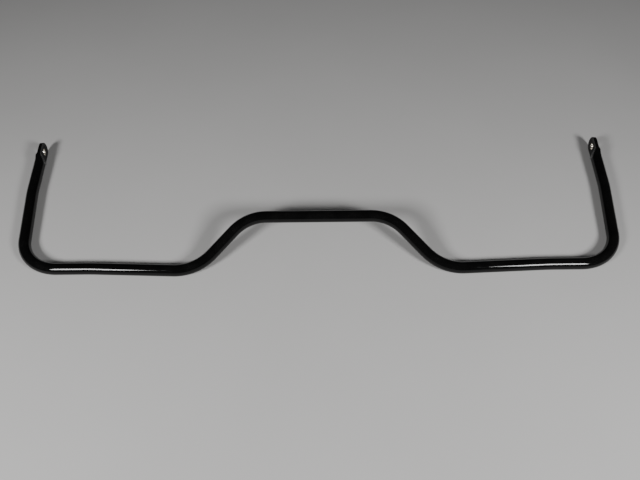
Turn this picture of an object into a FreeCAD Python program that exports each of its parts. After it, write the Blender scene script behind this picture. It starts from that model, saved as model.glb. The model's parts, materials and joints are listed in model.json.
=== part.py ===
import FreeCAD, Part
import math
import os

from FreeCAD import Vector

# Rear sway bar (anti-roll bar) of a small car, lying on a level surface.
#
# The bar is one length of round spring steel. On each side a straight seat carries the rubber
# chassis bushing, a raised crank joins the two sides and clears the axle, and a lever arm leads
# back from each outer corner. Each arm ends in a link eye, where the bar is forged flat, trimmed
# round and pierced for the stud of the drop link.
#
# The bar works by twisting about the line through its two seats. The sections below divide it
# square to its axis where its job changes. Each corner, arm and eye turn together about the seat
# line, and a hair of clearance beside each seat keeps the turning faces apart.
#
# Millimetres. +X to the bar's right, +Y from the seats towards the eyes, +Z up. The origin is
# the middle of the bounding box, on the surface that the bar lies on.

# round bar
bar_diameter = 20.0

# crank: where the centrelines of its straights meet, from the centre plane and the seat line
crank_top_half_width = 120.0
crank_foot_half_width = 203.0
crank_setback = 73.5
crank_foot_lead = 7.0
crank_rise = 40.0

# outer corner, from the centre plane, and the start of the seat inwards of it
corner_half_width = 494.0
seat_inner_inset = 116.0

# lever arms: the eye behind the seat line, the elbow short of the eye, and how far each splays out
eye_distance = 266.0
elbow_to_eye = 101.0
elbow_outset = 27.0
eye_outset = 9.0

# centreline bend radii
crank_top_radius = 74.0
crank_foot_radius = 82.0
seat_inner_radius = 600.0
corner_radius = 70.0
elbow_radius = 400.0

# link eye
eye_thickness = 6.0
eye_trimmed_width = 29.0
eye_end_distance = 19.5
eye_hole_diameter = 10.5
eye_flat_length = 12.0
eye_taper_length = 24.0
eye_taper_sections = 5
taper_side_half_angle = 35.0
eye_edge_break = 0.6

# gap between the seat's end and the corner that turns beside it
twist_clearance = 0.3

# how closely the bounding box is measured
box_tolerance = 0.01

bar_radius = bar_diameter / 2
eye_half_thickness = eye_thickness / 2
eye_half_width = eye_trimmed_width / 2
sideways = Vector(1, 0, 0)
upright = Vector(0, 0, 1)
origin = Vector(0, 0, 0)


def full_width_start():
    # how far behind the hole the pressed bar, keeping its area, first spreads to the trimmed width
    round_share = math.pi / 4
    flat_share = 1 - round_share
    root = math.sqrt(eye_half_width ** 2 - 4 * flat_share * round_share * bar_radius ** 2)
    half_thickness = (eye_half_width - root) / (2 * flat_share)
    eased = (bar_radius - half_thickness) / (bar_radius - eye_half_thickness)
    share = 0.5 - math.sin(math.asin(1 - 2 * eased) / 3)
    return eye_flat_length + eye_taper_length * (1 - share)


def eye_height():
    # the eye's lower edge rests on the same surface as the seats, and the arm rises to meet it
    start = full_width_start()
    rest = eye_half_width - start * bar_radius / eye_distance
    return rest / (1 - start / eye_distance)


def arm_height(distance):
    return bar_radius + (eye_height() - bar_radius) * distance / eye_distance


def route():
    # corners of the right half's centreline, from the centre plane to the eye's hole
    top = bar_radius + crank_rise
    elbow_distance = eye_distance - elbow_to_eye
    elbow_half_width = corner_half_width + elbow_outset
    return [
        Vector(0, crank_setback, top),
        Vector(crank_top_half_width, crank_setback, top),
        Vector(crank_foot_half_width, -crank_foot_lead, bar_radius),
        Vector(corner_half_width - seat_inner_inset, 0, bar_radius),
        Vector(corner_half_width, 0, bar_radius),
        Vector(elbow_half_width, elbow_distance, arm_height(elbow_distance)),
        Vector(elbow_half_width + eye_outset, eye_distance, eye_height()),
    ]


def bends():
    # the arc that rounds each corner of the route, with its tangent points
    points = route()
    radii = [crank_top_radius, crank_foot_radius, seat_inner_radius, corner_radius, elbow_radius]
    arcs = []
    for before, corner, after, radius in zip(points, points[1:], points[2:], radii):
        arriving = (corner - before).normalize()
        leaving = (after - corner).normalize()
        turn = arriving.getAngle(leaving)
        reach = radius * math.tan(turn / 2)
        axis = arriving.cross(leaving).normalize()
        start = corner - arriving * reach
        arcs.append({
            "start": start,
            "end": corner + leaving * reach,
            "arriving": arriving,
            "leaving": leaving,
            "axis": axis,
            "centre": start + axis.cross(arriving) * radius,
            "degrees": math.degrees(turn),
        })
    return arcs


def disc(centre, direction):
    return Part.Face(Part.Wire(Part.makeCircle(bar_radius, centre, direction)))


def straight(start, end):
    return disc(start, end - start).extrude(end - start)


def bend(arc):
    return disc(arc["start"], arc["arriving"]).revolve(arc["centre"], arc["axis"], arc["degrees"])


def joined(lengths):
    whole = lengths[0].multiFuse(lengths[1:]).removeSplitter()
    return whole.Solids[0]


def mirrored(shape):
    return shape.mirror(origin, sideways)


def crank_bridge(top):
    # level middle of the crank, with the bend at each end
    half = [straight(route()[0], top["start"]), bend(top)]
    return joined(half + [mirrored(length) for length in half])


def crank_ramp(top, foot):
    # slope from the bridge down to the run, with the bend at its foot
    return joined([straight(top["end"], foot["start"]), bend(foot)])


def torsion_run(foot, seat_inner):
    # inner run beside the crank, slightly toed in, with the easy bend that lines up the seat
    return joined([straight(foot["end"], seat_inner["start"]), bend(seat_inner)])


def bushing_seat(seat_inner, corner):
    # straight length on the twist axis, gripped by the chassis bushing
    return straight(seat_inner["end"], corner["start"])


def corner_bend(corner):
    # outer corner, starting a clearance away from the seat
    start = dict(corner)
    skipped = math.degrees(twist_clearance / corner_radius)
    turn = FreeCAD.Rotation(corner["axis"], skipped)
    start["start"] = corner["centre"] + turn.multVec(corner["start"] - corner["centre"])
    start["arriving"] = turn.multVec(corner["arriving"])
    start["degrees"] = corner["degrees"] - skipped
    return bend(start)


def lever_arm(corner, elbow):
    # arm with its slight elbow, as far as the place where the eye's taper begins
    return joined([
        straight(corner["end"], elbow["start"]),
        bend(elbow),
        straight(elbow["end"], taper_start(elbow)),
    ])


def taper_start(elbow):
    return route()[-1] - elbow["leaving"] * (eye_flat_length + eye_taper_length)


def pressed_section(along, half_thickness, roundness):
    # outline of the bar pressed between flat dies, square to X: it keeps the round bar's area.
    # roundness is 1 for the untouched circle, and 0 for two flats joined by half rounds.
    spare = bar_radius ** 2 - half_thickness ** 2
    flat = math.pi * spare / (4 * half_thickness)
    spread = math.radians(taper_side_half_angle) * roundness
    side_y = half_thickness * math.cos(spread)
    side_z = flat + half_thickness * math.sin(spread)
    crown = flat + half_thickness

    def at(y, z):
        return Vector(along, y, z)

    def side(low, middle, high):
        if roundness > 0:
            return Part.Arc(low, middle, high).toShape()
        return Part.makeLine(low, high)

    return Part.Wire([
        side(at(side_y, -side_z), at(half_thickness, 0), at(side_y, side_z)),
        Part.Arc(at(side_y, side_z), at(0, crown), at(-side_y, side_z)).toShape(),
        side(at(-side_y, side_z), at(-half_thickness, 0), at(-side_y, -side_z)),
        Part.Arc(at(-side_y, -side_z), at(0, -crown), at(side_y, -side_z)).toShape(),
    ])


def pressed_blank():
    # taper from round to flat, then the flat, along +X with the hole's centre at the origin
    taper = []
    for step in range(eye_taper_sections):
        share = step / (eye_taper_sections - 1)
        eased = share * share * (3 - 2 * share)
        half_thickness = bar_radius + (eye_half_thickness - bar_radius) * eased
        along = -eye_flat_length - eye_taper_length * (1 - share)
        taper.append(pressed_section(along, half_thickness, 1 - eased))
    flat = Part.Face(taper[-1]).extrude(Vector(eye_flat_length + eye_trimmed_width, 0, 0))
    return Part.makeLoft(taper, True).fuse(flat)


def trimming_die():
    # parallel sides and a round end beyond the hole, cutting through the eye's whole thickness
    back = -eye_flat_length - 2 * eye_taper_length
    front = eye_end_distance - eye_half_width
    depth = Vector(0, 2 * bar_diameter, 0)
    outline = Part.Wire([
        Part.makeLine(Vector(back, 0, -eye_half_width), Vector(front, 0, -eye_half_width)),
        Part.Arc(
            Vector(front, 0, -eye_half_width),
            Vector(eye_end_distance, 0, 0),
            Vector(front, 0, eye_half_width),
        ).toShape(),
        Part.makeLine(Vector(front, 0, eye_half_width), Vector(back, 0, eye_half_width)),
        Part.makeLine(Vector(back, 0, eye_half_width), Vector(back, 0, -eye_half_width)),
    ])
    return Part.Face(outline).extrude(depth).translated(depth * -0.5)


def eye_punch():
    # hole for the link's stud, with a broken edge at each mouth
    radius = eye_hole_diameter / 2
    reach = bar_diameter
    punch = Part.makeCylinder(radius, 2 * reach, Vector(0, -reach, 0), Vector(0, 1, 0))
    for face in (1, -1):
        mouth = Vector(0, face * eye_half_thickness, 0)
        inwards = Vector(0, -face, 0)
        edge = Part.makeCone(radius + eye_edge_break, radius, eye_edge_break, mouth, inwards)
        punch = punch.fuse(edge)
    return punch


def link_eye(elbow):
    # forged flat, trimmed and pierced, its plate standing on edge along the arm
    blank = pressed_blank().common(trimming_die()).cut(eye_punch())
    eye = blank.Solids[0]
    along = elbow["leaving"]
    across = upright.cross(along).normalize()
    turn = FreeCAD.Rotation(along, across, along.cross(across), "XYZ")
    eye.Placement = FreeCAD.Placement(route()[-1], turn)
    return eye


def sections():
    top, foot, seat_inner, corner, elbow = bends()
    right = {
        "crank_ramp": crank_ramp(top, foot),
        "torsion_run": torsion_run(foot, seat_inner),
        "bushing_seat": bushing_seat(seat_inner, corner),
        "corner_bend": corner_bend(corner),
        "lever_arm": lever_arm(corner, elbow),
        "link_eye": link_eye(elbow),
    }
    whole = {"crank_bridge": crank_bridge(top)}
    for name, shape in right.items():
        whole["right_" + name] = shape
        whole["left_" + name] = mirrored(shape)
    return whole


def placed_on_the_surface(shapes):
    points = [point for shape in shapes.values() for point in shape.tessellate(box_tolerance)[0]]
    front = min(point.y for point in points)
    back = max(point.y for point in points)
    shift = Vector(0, -(front + back) / 2, -min(point.z for point in points))
    return {name: shape.translated(shift) for name, shape in shapes.items()}, shift


nodes, frame_shift = placed_on_the_surface(sections())
os.makedirs("parts", exist_ok=True)
for node, solid in nodes.items():
    solid.exportStep("parts/" + node + ".step")
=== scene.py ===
import json
import math

import bmesh
import bpy
import numpy as np
from mathutils import Matrix, Vector


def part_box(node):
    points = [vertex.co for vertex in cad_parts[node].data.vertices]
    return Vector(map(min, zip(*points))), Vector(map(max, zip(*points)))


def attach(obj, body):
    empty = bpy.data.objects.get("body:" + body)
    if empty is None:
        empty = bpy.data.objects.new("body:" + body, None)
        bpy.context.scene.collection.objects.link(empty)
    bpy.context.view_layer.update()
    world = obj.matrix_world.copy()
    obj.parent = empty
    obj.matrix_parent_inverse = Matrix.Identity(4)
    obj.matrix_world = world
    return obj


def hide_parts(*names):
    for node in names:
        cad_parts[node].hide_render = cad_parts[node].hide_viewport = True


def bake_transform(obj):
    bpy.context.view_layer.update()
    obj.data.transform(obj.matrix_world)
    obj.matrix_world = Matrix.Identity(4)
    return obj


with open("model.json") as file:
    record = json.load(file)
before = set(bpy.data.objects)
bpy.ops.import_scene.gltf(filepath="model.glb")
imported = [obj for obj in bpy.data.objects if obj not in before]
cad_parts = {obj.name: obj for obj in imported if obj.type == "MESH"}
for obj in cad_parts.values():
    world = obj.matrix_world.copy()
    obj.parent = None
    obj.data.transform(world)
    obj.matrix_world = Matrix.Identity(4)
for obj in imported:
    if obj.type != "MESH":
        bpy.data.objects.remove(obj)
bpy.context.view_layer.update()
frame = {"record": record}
mounts = {mount["name"]: mount for mount in frame["record"]["mounts"]}
mm = 0.001
mergeDistance = 2e-7

# sizes of the bar's route that its boxes and mounts don't give, in millimetres
barRoute = {
    "crankTopHalfWidth": 120.0,
    "crankFootHalfWidth": 203.0,
    "crankFootLead": 7.0,
    "seatInnerInset": 116.0,
    "cornerHalfWidth": 494.0,
    "elbowOutset": 27.0,
    "elbowToEye": 101.0,
    "crankTopRadius": 74.0,
    "crankFootRadius": 82.0,
    "seatInnerRadius": 600.0,
    "cornerRadius": 70.0,
    "elbowRadius": 400.0,
    "ringSpacing": 4.0,
    "arcStepDegrees": 1.5,
    "ringPoints": 96,
}

# forged eye, in millimetres
eyeForm = {
    "flatLength": 12.0,
    "taperLength": 24.0,
    "halfThickness": 3.0,
    "trimmedHalfWidth": 14.5,
    "endDistance": 19.5,
    "edgeRounding": 0.9,
    "boreEdgeBreak": 0.6,
    "bareRing": 1.1,
    "sideRows": 72,
    "endRows": 73,
    "mouthColumns": 6,
    "faceColumns": 56,
    "edgeCrowding": 2.3,
}


def unit(vector):
    return vector / np.linalg.norm(vector)


def smoothStep(share):
    share = np.clip(share, 0.0, 1.0)
    return share * share * (3.0 - 2.0 * share)


# the places that the frame gives, in metres: seat line, top of the crank and centre of the eye's bore
def framePlaces():
    seatLow, seatHigh = (np.array(corner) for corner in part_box("right_bushing_seat"))
    bridgeHigh = np.array(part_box("crank_bridge")[1])
    radius = (seatHigh[2] - seatLow[2]) / 2
    seat = (seatLow + seatHigh) / 2
    top = bridgeHigh - radius
    return radius, seat, top, np.array(mounts["right_link_bore"]["pos_m"])


# corners of the right half's centreline, from the centre plane to the eye
def routeCorners():
    radius, seat, top, eye = framePlaces()
    r = {name: value * mm for name, value in barRoute.items()}
    elbowY = eye[1] - r["elbowToEye"]
    elbowZ = seat[2] + (eye[2] - seat[2]) * (elbowY - seat[1]) / (eye[1] - seat[1])
    return np.array([
        [0.0, top[1], top[2]],
        [r["crankTopHalfWidth"], top[1], top[2]],
        [r["crankFootHalfWidth"], seat[1] - r["crankFootLead"], seat[2]],
        [r["cornerHalfWidth"] - r["seatInnerInset"], seat[1], seat[2]],
        [r["cornerHalfWidth"], seat[1], seat[2]],
        [r["cornerHalfWidth"] + r["elbowOutset"], elbowY, elbowZ],
        eye,
    ])


# a straight: points evenly spaced between two ends
def straightPoints(start, end):
    count = max(2, round(np.linalg.norm(end - start) / (barRoute["ringSpacing"] * mm)) + 1)
    return start + (end - start) * np.linspace(0, 1, count)[:, None]


# the arc tangent to both straights at a corner: centre plus the start radius turned about the axis
def cornerArc(before, corner, after, radius):
    arriving = unit(corner - before)
    leaving = unit(after - corner)
    turn = math.acos(float(np.clip(arriving @ leaving, -1, 1)))
    reach = radius * math.tan(turn / 2)
    axis = unit(np.cross(arriving, leaving))
    start = corner - arriving * reach
    centre = start + np.cross(axis, arriving) * radius
    spoke = start - centre
    count = max(8, round(math.degrees(turn) / barRoute["arcStepDegrees"]))
    angles = np.linspace(0, turn, count)[:, None]
    return centre + spoke * np.cos(angles) + np.cross(axis, spoke) * np.sin(angles)


# the right half's arcs, and the straights that join them
def halfRoute():
    corners = routeCorners()
    radii = [barRoute[name] * mm for name in (
        "crankTopRadius", "crankFootRadius", "seatInnerRadius", "cornerRadius", "elbowRadius")]
    arcs = [cornerArc(*corners[i:i + 3], radii[i]) for i in range(5)]
    armDirection = unit(corners[6] - corners[5])
    taperStart = corners[6] - armDirection * (eyeForm["flatLength"] + eyeForm["taperLength"]) * mm
    starts = [corners[0]] + [arc[-1] for arc in arcs]
    ends = [arc[0] for arc in arcs] + [taperStart]
    straights = [straightPoints(start, end) for start, end in zip(starts, ends)]
    return straights, arcs, armDirection


# stretches end to end, each after the first without the point that it shares with the one before
def joinedRoute(*stretches):
    return np.vstack([stretches[0]] + [stretch[1:] for stretch in stretches[1:]])


def mirrored(points):
    return points * np.array([-1.0, 1.0, 1.0])


# a round bar along a route: each ring is the route's point plus the radius turned about its tangent
def barSurface(points, radius):
    steps = np.diff(points, axis=0)
    steps /= np.linalg.norm(steps, axis=1)[:, None]
    tangents = np.vstack([steps[:1], steps[:-1] + steps[1:], steps[-1:]])
    tangents[0], tangents[-1] = endTangents(points)
    tangents /= np.linalg.norm(tangents, axis=1)[:, None]
    up = np.array([0.0, 0.0, 1.0]) - tangents * tangents[:, 2:3]
    up /= np.linalg.norm(up, axis=1)[:, None]
    side = np.cross(tangents, up)
    count = barRoute["ringPoints"]
    angles = np.arange(count) * 2 * math.pi / count
    rings = up[:, None] * np.cos(angles)[None, :, None] + side[:, None] * np.sin(angles)[None, :, None]
    return points[:, None] + rings * radius


# tangent at each end of a route: the end step turned on by half of the turn between it and the next
def endTangents(points):
    first = unit(points[1] - points[0])
    second = unit(points[2] - points[1]) if len(points) > 2 else first
    last = unit(points[-1] - points[-2])
    nextToLast = unit(points[-2] - points[-3]) if len(points) > 2 else last
    return unit(first * 1.5 - second * 0.5), unit(last * 1.5 - nextToLast * 0.5)


# quads between neighbouring rows of a grid of vertex numbers, closed round when asked
def gridFaces(rows, columns, wrapRows):
    count = rows if wrapRows else rows - 1
    row = np.arange(count)[:, None] * columns
    nextRow = (np.arange(count)[:, None] + 1) % rows * columns
    column = np.arange(columns)[None, :]
    nextColumn = (column + 1) % columns
    quads = np.stack([row + column, row + nextColumn, nextRow + nextColumn, nextRow + column], axis=-1)
    return quads.reshape(-1, 4)


# mesh object with merged doubles, outward faces and smooth shading, creased where faces meet sharply
def newMesh(name, vertices, faces, sharpDegrees=38):
    mesh = bpy.data.meshes.new(name)
    mesh.from_pydata(vertices.tolist(), [], faces)
    work = bmesh.new()
    work.from_mesh(mesh)
    bmesh.ops.remove_doubles(work, verts=work.verts, dist=mergeDistance)
    bmesh.ops.recalc_face_normals(work, faces=work.faces)
    work.to_mesh(mesh)
    work.free()
    mesh.shade_smooth()
    mesh.set_sharp_from_angle(angle=math.radians(sharpDegrees))
    piece = bpy.data.objects.new(name, mesh)
    bpy.context.scene.collection.objects.link(piece)
    return piece


# a closed length of bar: the swept grid with a fan of triangles over each end
def barPiece(name, points, radius):
    grid = barSurface(points, radius)
    rows, columns = grid.shape[:2]
    vertices = np.vstack([grid.reshape(-1, 3), points[:1], points[-1:]])
    faces = gridFaces(rows, columns, False).tolist()
    ring = np.arange(columns)
    nextRing = (ring + 1) % columns
    last = (rows - 1) * columns
    faces += np.stack([nextRing, ring, np.full(columns, rows * columns)], axis=-1).tolist()
    faces += np.stack([last + ring, last + nextRing, np.full(columns, rows * columns + 1)], axis=-1).tolist()
    return newMesh(name, vertices, faces)


# half thickness of the forged end at each distance along: eases from the bar's radius to the flat's
def forgedHalfThickness(along, radius):
    share = (along + (eyeForm["flatLength"] + eyeForm["taperLength"]) * mm) / (eyeForm["taperLength"] * mm)
    return radius + (eyeForm["halfThickness"] * mm - radius) * smoothStep(share)


# half the flat between the half rounds, so that the pressed section keeps the round bar's area
def forgedHalfFlat(halfThickness, radius):
    return math.pi * (radius ** 2 - halfThickness ** 2) / (4 * halfThickness)


# height of the face above the eye's middle plane: flats joined by half rounds, less the trim's rounded edge
def forgedHeight(along, across, radius):
    half = forgedHalfThickness(along, radius)
    flat = forgedHalfFlat(half, radius)
    trimmed = eyeForm["trimmedHalfWidth"] * mm
    face = np.sqrt(np.maximum(half ** 2 - np.maximum(np.abs(across) - flat, 0) ** 2, 0))
    atEdge = np.sqrt(np.maximum(half ** 2 - np.maximum(np.minimum(trimmed, flat + half) - flat, 0) ** 2, 0))
    rounding = np.minimum(eyeForm["edgeRounding"] * mm, atEdge * 0.6)
    beyond = np.maximum(along - endCentre(), 0)
    fromEdge = trimmed - np.hypot(beyond, across)
    inwards = np.clip(rounding - fromEdge, 0, rounding)
    return np.maximum(face - rounding + np.sqrt(np.maximum(rounding ** 2 - inwards ** 2, 0)), 0)


# how far beyond the bore's axis the round end has its centre
def endCentre():
    return (eyeForm["endDistance"] - eyeForm["trimmedHalfWidth"]) * mm


# outline of the eye seen square to its plate: joint with the arm, one side, round end, other side
def eyeOutline(radius):
    trimmed = eyeForm["trimmedHalfWidth"] * mm
    back = -(eyeForm["flatLength"] + eyeForm["taperLength"]) * mm
    joint = np.linspace(math.pi / 2, -math.pi / 2, barRoute["ringPoints"] // 2 + 1)
    jointLine = np.stack([np.full(joint.size, back), radius * np.sin(joint)], axis=-1)
    along = np.linspace(back, endCentre(), eyeForm["sideRows"])[1:]
    half = forgedHalfThickness(along, radius)
    width = np.minimum(half + forgedHalfFlat(half, radius), trimmed)
    lowerSide = np.stack([along, -width], axis=-1)
    tip = np.linspace(-math.pi / 2, math.pi / 2, eyeForm["endRows"])[1:]
    roundEnd = np.stack([endCentre() + trimmed * np.cos(tip), trimmed * np.sin(tip)], axis=-1)
    upperSide = (lowerSide * [1, -1])[::-1][1:]
    return np.vstack([jointLine, lowerSide, roundEnd, upperSide])


# the eye: rays from the bore to its outline, each a closed profile of bore, face, edge and far face
def eyePiece(name, side, radius, armDirection):
    bore = mounts["right_link_bore"]
    boreRadius = bore["dims"]["r_mm"] * mm
    edgeBreak = eyeForm["boreEdgeBreak"] * mm
    thickness = eyeForm["halfThickness"] * mm
    outline = eyeOutline(radius)
    reach = np.linalg.norm(outline, axis=1)
    direction = outline / reach[:, None]

    quarter = np.linspace(0, math.pi / 2, eyeForm["mouthColumns"])
    mouthOut = boreRadius + edgeBreak * (1 - np.cos(quarter))
    mouthUp = thickness - edgeBreak * (1 - np.sin(quarter))
    share = 1 - (1 - np.linspace(0, 1, eyeForm["faceColumns"])[1:]) ** eyeForm["edgeCrowding"]
    faceOut = mouthOut[-1] + (reach[:, None] - mouthOut[-1]) * share
    faceUp = forgedHeight(faceOut * direction[:, :1], faceOut * direction[:, 1:], radius)
    wallShare = np.array([0.66, 0.33])
    wallOut = np.repeat(reach[:, None], wallShare.size, axis=1)
    wallUp = faceUp[:, -1:] * wallShare

    rays = reach.size
    out = np.hstack([np.tile(mouthOut, (rays, 1)), faceOut, wallOut])
    up = np.hstack([np.tile(mouthUp, (rays, 1)), faceUp, wallUp])
    out = np.hstack([np.full((rays, 1), boreRadius), out, reach[:, None], out[:, ::-1]])
    up = np.hstack([np.zeros((rays, 1)), up, np.zeros((rays, 1)), -up[:, ::-1]])

    eye = np.array(bore["pos_m"])
    across = unit(np.cross([0.0, 0.0, 1.0], armDirection))
    upright = np.cross(armDirection, across)
    grid = (eye + (out * direction[:, :1])[..., None] * armDirection
            + (out * direction[:, 1:])[..., None] * upright + up[..., None] * across)
    if side == "left":
        grid = mirrored(grid)
    rows, columns = grid.shape[:2]
    piece = newMesh(name, grid.reshape(-1, 3), gridFaces(rows, columns, True).tolist())
    markBareMetal(piece, side)
    return piece


# bareMetal is 1 in the pierced bore and fades out over the ring that the link's stud rubs
def markBareMetal(piece, side):
    bore = mounts[side + "_link_bore"]
    axis = unit(np.array(bore["axis"]))
    points = np.zeros(len(piece.data.vertices) * 3)
    piece.data.vertices.foreach_get("co", points)
    offset = points.reshape(-1, 3) - np.array(bore["pos_m"])
    fromAxis = np.linalg.norm(offset - (offset @ axis)[:, None] * axis, axis=1)
    beyond = (fromAxis / mm - bore["dims"]["r_mm"] - eyeForm["boreEdgeBreak"]) / eyeForm["bareRing"]
    attribute = piece.data.attributes.new("bareMetal", "FLOAT", "POINT")
    attribute.data.foreach_set("value", (1 - smoothStep(beyond)).astype(np.float32))


# sRGB hex to the linear colour that a shader takes
def toLinear(hexColour):
    channels = [int(hexColour[i:i + 2], 16) / 255 for i in (1, 3, 5)]
    linear = [c / 12.92 if c <= 0.04045 else ((c + 0.055) / 1.055) ** 2.4 for c in channels]
    return (*linear, 1.0)


# adds a node, sets its options and inputs, and links the sockets given as (node, output)
def addNode(tree, kind, options=None, inputs=None, links=None):
    node = tree.nodes.new(kind)
    for option, value in (options or {}).items():
        setattr(node, option, value)
    for socket, value in (inputs or {}).items():
        node.inputs[socket].default_value = value
    for socket, (source, output) in (links or {}).items():
        tree.links.new(source.outputs[output], node.inputs[socket])
    return node


def newMaterial(name, viewColour):
    material = bpy.data.materials.new(name)
    material.use_nodes = True
    material.diffuse_color = toLinear(viewColour)
    material.node_tree.nodes.clear()
    return material, material.node_tree


# how many times a pattern of this real size repeats in a metre
def perMetre(millimetres):
    return 1000.0 / millimetres


# black stoving enamel over shot-blasted spring steel: sprayed and baked, so it is deep black and glossy,
# with a faint orange peel, long soft waves from the drawn bar, thin dust on top and small handling rubs
enamel = {
    "colour": "#0a0a0a",
    "rubbedColour": "#101010",
    "dustColour": "#8d8a84",
    "roughness": (0.025, 0.08),
    "orangePeel": 2.2,
    "orangePeelDepth": 0.004,
    "barWave": 38.0,
    "barWaveDepth": 0.02,
    "rubSize": 34.0,
    "dustSize": 1.6,
    "dustShare": 0.16,
    "scratchLength": 30.0,
    "scratchSpacing": 0.9,
    "scratchTurns": (0.35, 1.75),
    "scratchRoughness": 0.22,
    "specularLevel": 0.27,
    "wornEdgeSize": 0.9,
}

# bare medium-carbon steel where the bore was pierced after painting: bright, with fine tool marks
bareSteel = {
    "colour": "#c9c6c0",
    "stainColour": "#8f877b",
    "roughness": (0.2, 0.36),
    "toolMark": 0.5,
    "toolMarkDepth": 0.01,
    "toolMarkStretch": 0.12,
    "stainSize": 2.5,
}


def steelShader(tree, position):
    m = bareSteel
    stain = addNode(tree, "ShaderNodeTexNoise", None,
                    {"Scale": perMetre(m["stainSize"]), "Detail": 5.0, "Roughness": 0.6},
                    {"Vector": (position, "Object")})
    colour = addNode(tree, "ShaderNodeValToRGB", None, None, {"Fac": (stain, "Fac")})
    colour.color_ramp.elements[0].position = 0.32
    colour.color_ramp.elements[0].color = toLinear(m["stainColour"])
    colour.color_ramp.elements[1].position = 0.62
    colour.color_ramp.elements[1].color = toLinear(m["colour"])
    gloss = addNode(tree, "ShaderNodeMapRange", None,
                    {"To Min": m["roughness"][1], "To Max": m["roughness"][0]}, {"Value": (stain, "Fac")})
    stretch = addNode(tree, "ShaderNodeMapping", None, {"Scale": (m["toolMarkStretch"], 1.0, 1.0)},
                      {"Vector": (position, "Object")})
    marks = addNode(tree, "ShaderNodeTexNoise", None,
                    {"Scale": perMetre(m["toolMark"]), "Detail": 3.0}, {"Vector": (stretch, "Vector")})
    bump = addNode(tree, "ShaderNodeBump", None,
                   {"Strength": 0.6, "Distance": m["toolMarkDepth"] * mm}, {"Height": (marks, "Fac")})
    return addNode(tree, "ShaderNodeBsdfPrincipled", None, {"Metallic": 1.0},
                   {"Base Color": (colour, "Color"), "Roughness": (gloss, "Result"),
                    "Normal": (bump, "Normal")})


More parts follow.
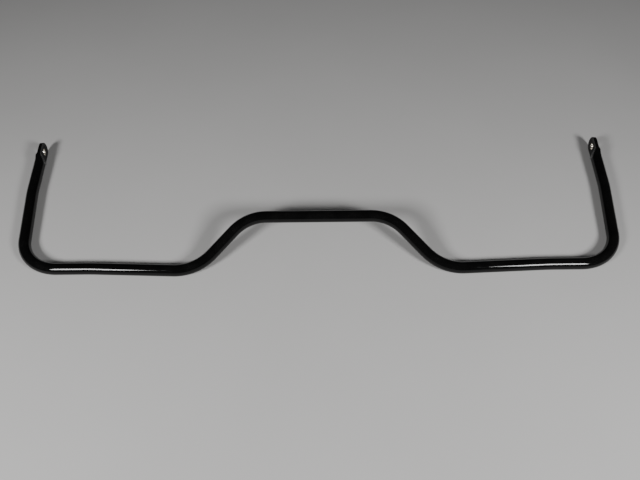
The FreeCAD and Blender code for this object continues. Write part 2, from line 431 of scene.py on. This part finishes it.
def enamelShader(tree, position):
    m = enamel
    place = {"Vector": (position, "Object")}
    rubs = addNode(tree, "ShaderNodeTexNoise", None,
                   {"Scale": perMetre(m["rubSize"]), "Detail": 7.0, "Roughness": 0.62, "Distortion": 0.4},
                   place)
    peel = addNode(tree, "ShaderNodeTexNoise", None,
                   {"Scale": perMetre(m["orangePeel"]), "Detail": 2.0, "Roughness": 0.45}, place)
    wave = addNode(tree, "ShaderNodeTexNoise", None, {"Scale": perMetre(m["barWave"]), "Detail": 1.0}, place)

    # dust: grains scattered by cells, kept to faces that look upwards
    grains = addNode(tree, "ShaderNodeTexVoronoi", {"feature": "F1"},
                     {"Scale": perMetre(m["dustSize"]), "Randomness": 1.0}, place)
    grainCore = addNode(tree, "ShaderNodeMapRange", None,
                        {"From Min": 0.05, "From Max": 0.26, "To Min": 1.0, "To Max": 0.0},
                        {"Value": (grains, "Distance")})
    facing = addNode(tree, "ShaderNodeNewGeometry")
    upwards = addNode(tree, "ShaderNodeSeparateXYZ", None, None, {"Vector": (facing, "Normal")})
    topSide = addNode(tree, "ShaderNodeMapRange", None,
                      {"From Min": 0.1, "From Max": 0.95}, {"Value": (upwards, "Z")})
    film = addNode(tree, "ShaderNodeMapRange", None,
                   {"From Min": 0.45, "From Max": 0.7, "To Min": 0.15, "To Max": 1.0},
                   {"Value": (rubs, "Fac")})
    settled = addNode(tree, "ShaderNodeMath", {"operation": "MULTIPLY"}, None,
                      {0: (topSide, "Result"), 1: (film, "Result")})
    grainDust = addNode(tree, "ShaderNodeMath", {"operation": "MULTIPLY"}, None,
                        {0: (settled, "Value"), 1: (grainCore, "Result")})
    dust = addNode(tree, "ShaderNodeMath", {"operation": "MULTIPLY"}, {1: m["dustShare"]},
                   {0: (grainDust, "Value")})

    rubbed = addNode(tree, "ShaderNodeMapRange", None,
                     {"From Min": 0.4, "From Max": 0.75}, {"Value": (rubs, "Fac")})
    paint = addNode(tree, "ShaderNodeMix", {"data_type": "RGBA"}, None, {"Factor": (rubbed, "Result")})
    paint.inputs[6].default_value = toLinear(m["colour"])
    paint.inputs[7].default_value = toLinear(m["rubbedColour"])
    dusty = addNode(tree, "ShaderNodeMix", {"data_type": "RGBA"}, None, {"Factor": (dust, "Value")})
    tree.links.new(paint.outputs[2], dusty.inputs[6])
    dusty.inputs[7].default_value = toLinear(m["dustColour"])

    # fine scratches from dragging and stacking: two noises stretched different ways, cut to hairlines
    hairlines = []
    stretch = (m["scratchSpacing"] / m["scratchLength"], 1.0, 1.0)
    for turn in m["scratchTurns"]:
        slide = addNode(tree, "ShaderNodeMapping", None,
                        {"Rotation": (0.2, 0.1, turn), "Scale": stretch}, place)
        streak = addNode(tree, "ShaderNodeTexNoise", None,
                         {"Scale": perMetre(m["scratchSpacing"]), "Detail": 2.0},
                         {"Vector": (slide, "Vector")})
        hairlines.append(addNode(tree, "ShaderNodeMapRange", None,
                                 {"From Min": 0.68, "From Max": 0.74}, {"Value": (streak, "Fac")}))
    scratches = addNode(tree, "ShaderNodeMath", {"operation": "MAXIMUM"}, None,
                        {0: (hairlines[0], "Result"), 1: (hairlines[1], "Result")})
    scuff = addNode(tree, "ShaderNodeMath", {"operation": "MULTIPLY"}, {1: m["scratchRoughness"]},
                    {0: (scratches, "Value")})

    smoothest, roughest = m["roughness"]
    gloss = addNode(tree, "ShaderNodeMapRange", None,
                    {"From Min": 0.3, "From Max": 0.75, "To Min": smoothest, "To Max": roughest},
                    {"Value": (rubs, "Fac")})
    scuffed = addNode(tree, "ShaderNodeMath", {"operation": "ADD"}, None,
                      {0: (gloss, "Result"), 1: (scuff, "Value")})
    roughness = addNode(tree, "ShaderNodeMath", {"operation": "ADD", "use_clamp": True}, None,
                        {0: (scuffed, "Value"), 1: (dust, "Value")})

    waveBump = addNode(tree, "ShaderNodeBump", None,
                       {"Strength": 0.5, "Distance": m["barWaveDepth"] * mm}, {"Height": (wave, "Fac")})
    peelBump = addNode(tree, "ShaderNodeBump", None,
                       {"Strength": 0.5, "Distance": m["orangePeelDepth"] * mm},
                       {"Height": (peel, "Fac"), "Normal": (waveBump, "Normal")})
    return addNode(tree, "ShaderNodeBsdfPrincipled", None, {"Specular IOR Level": m["specularLevel"]},
                   {"Base Color": (dusty, 2), "Roughness": (roughness, "Value"),
                    "Normal": (peelBump, "Normal")})


# one finish for the whole bar: enamel, worn through to bare steel where the bareMetal attribute says so
def stovedEnamelOnSteel():
    material, tree = newMaterial("stovedEnamelOnSteel", enamel["colour"])
    position = addNode(tree, "ShaderNodeTexCoord")
    paint = enamelShader(tree, position)
    steel = steelShader(tree, position)
    bare = addNode(tree, "ShaderNodeAttribute", {"attribute_name": "bareMetal"})
    ragged = addNode(tree, "ShaderNodeTexNoise", None,
                     {"Scale": perMetre(enamel["wornEdgeSize"]), "Detail": 3.0},
                     {"Vector": (position, "Object")})
    edge = addNode(tree, "ShaderNodeMath", {"operation": "ADD"}, None,
                   {0: (bare, "Fac"), 1: (ragged, "Fac")})
    worn = addNode(tree, "ShaderNodeMapRange", None,
                   {"From Min": 0.93, "From Max": 1.02}, {"Value": (edge, "Value")})
    blend = addNode(tree, "ShaderNodeMixShader", None, None,
                    {0: (worn, "Result"), 1: (paint, "BSDF"), 2: (steel, "BSDF")})
    addNode(tree, "ShaderNodeOutputMaterial", None, None, {"Surface": (blend, "Shader")})
    return material


# each section of the bar becomes one smooth piece in place of its CAD node
def buildBar(material):
    radius = framePlaces()[0]
    straights, arcs, armDirection = halfRoute()
    bridge = joinedRoute(straights[0], arcs[0])
    sections = {"crank_bridge": barPiece("crankBridge", joinedRoute(mirrored(bridge[::-1]), bridge), radius)}
    stretches = {
        "crank_ramp": ("CrankRamp", joinedRoute(straights[1], arcs[1])),
        "torsion_run": ("TorsionRun", joinedRoute(straights[2], arcs[2])),
        "bushing_seat": ("BushingSeat", straights[3]),
        "corner_bend": ("CornerBend", arcs[3]),
        "lever_arm": ("LeverArm", joinedRoute(straights[4], arcs[4], straights[5])),
    }
    for side in ("left", "right"):
        for section, (label, points) in stretches.items():
            route = mirrored(points) if side == "left" else points
            sections[side + "_" + section] = barPiece(side + label, route, radius)
        sections[side + "_link_eye"] = eyePiece(side + "LinkEye", side, radius, armDirection)

    # the runs and seats, which twist between the crank and the arms, are baked in place and left unattached;
    # the crank stays with the centre
    for node, piece in sections.items():
        piece.data.materials.append(material)
        side = node.split("_")[0]
        if node.endswith(("torsion_run", "bushing_seat")):
            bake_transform(piece)
        elif node.endswith(("corner_bend", "lever_arm", "link_eye")):
            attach(piece, side + "_arm")
        else:
            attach(piece, "centre")
        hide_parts(node)
    return sections


# how far each piece's box is from its CAD node's, in millimetres
def largestMismatch(sections):
    worst = {}
    for node, piece in sections.items():
        corners = np.array([corner[:] for corner in piece.bound_box])
        low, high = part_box(node)
        gap = max(np.abs(corners.min(0) - np.array(low)).max(), np.abs(corners.max(0) - np.array(high)).max())
        worst[node] = round(float(gap) / mm, 2)
    return worst


# sheet that the bar lies on, and its lighting
studio = {
    "floorSize": 9.0,
    "floorColours": ("#c1c0bf", "#c8c7c6"),
    "floorMottle": 260.0,
    "lampReach": (1.0, -1.06, 1.0),
    "lampSize": 0.36,
    "lampWatts": 20.8,
    "skyColour": "#e6e8ec",
    "skyStrength": 0.025,
}

# camera above the bar's near side, looking down across it
shot = {
    "height": 0.785,
    "inFrontOfSeats": 0.5094,
    "offCentre": 0.0020,
    "downDegrees": 54.0,
    "rollDegrees": 0.6,
    "lensMm": 31.5,
}


# heavy uncoated paper: a dull, even white that throws almost no highlight, faintly mottled by its pulp
def mattePaper():
    darker, lighter = studio["floorColours"]
    material, tree = newMaterial("mattePaper", lighter)
    position = addNode(tree, "ShaderNodeTexCoord")
    fibre = addNode(tree, "ShaderNodeTexNoise", None,
                    {"Scale": perMetre(studio["floorMottle"]), "Detail": 4.0, "Roughness": 0.5},
                    {"Vector": (position, "Object")})
    tone = addNode(tree, "ShaderNodeValToRGB", None, None, {"Fac": (fibre, "Fac")})
    tone.color_ramp.elements[0].color = toLinear(darker)
    tone.color_ramp.elements[1].color = toLinear(lighter)
    surface = addNode(tree, "ShaderNodeBsdfPrincipled", None,
                      {"Roughness": 0.9, "Specular IOR Level": 0.2}, {"Base Color": (tone, "Color")})
    addNode(tree, "ShaderNodeOutputMaterial", None, None, {"Surface": (surface, "BSDF")})
    return material


def buildStudio():
    half = studio["floorSize"] / 2
    corners = np.array([[-half, -half, 0], [half, -half, 0], [half, half, 0], [-half, half, 0]])
    mesh = bpy.data.meshes.new("paperSheet")
    mesh.from_pydata(corners.tolist(), [], [(0, 1, 2, 3)])
    mesh.materials.append(mattePaper())
    floor = bpy.data.objects.new("paperSheet", mesh)
    bpy.context.scene.collection.objects.link(floor)

    target = Vector((0.0, 0.0, 0.0))
    for name, sign in (("leftLamp", -1), ("rightLamp", 1)):
        lamp = bpy.data.lights.new(name, "AREA")
        lamp.shape = "SQUARE"
        lamp.size = studio["lampSize"]
        lamp.energy = studio["lampWatts"]
        holder = bpy.data.objects.new(name, lamp)
        x, y, z = studio["lampReach"]
        place = Vector((sign * x, y, z))
        aim = (target - place).to_track_quat("-Z", "Y").to_matrix().to_4x4()
        holder.matrix_world = Matrix.Translation(place) @ aim
        bpy.context.scene.collection.objects.link(holder)

    world = bpy.data.worlds.new("studioAir")
    world.use_nodes = True
    world.node_tree.nodes.clear()
    sky = addNode(world.node_tree, "ShaderNodeBackground", None,
                  {"Color": toLinear(studio["skyColour"]), "Strength": studio["skyStrength"]})
    addNode(world.node_tree, "ShaderNodeOutputWorld", None, None, {"Surface": (sky, "Background")})
    bpy.context.scene.world = world


def buildCamera():
    seat = framePlaces()[1]
    lens = bpy.data.cameras.new("studioCamera")
    lens.lens = shot["lensMm"]
    lens.sensor_width = 36.0
    lens.clip_start = 0.01
    camera = bpy.data.objects.new("studioCamera", lens)
    place = Matrix.Translation((shot["offCentre"], seat[1] - shot["inFrontOfSeats"], shot["height"]))
    tilt = Matrix.Rotation(math.radians(90 - shot["downDegrees"]), 4, "X")
    roll = Matrix.Rotation(math.radians(-shot["rollDegrees"]), 4, "Z")
    camera.matrix_world = place @ tilt @ roll
    bpy.context.scene.collection.objects.link(camera)
    bpy.context.scene.camera = camera


print("finish")
barFinish = stovedEnamelOnSteel()
print("bar")
barSections = buildBar(barFinish)
print("box mismatch in mm", largestMismatch(barSections))
print("studio and camera")
buildStudio()
buildCamera()
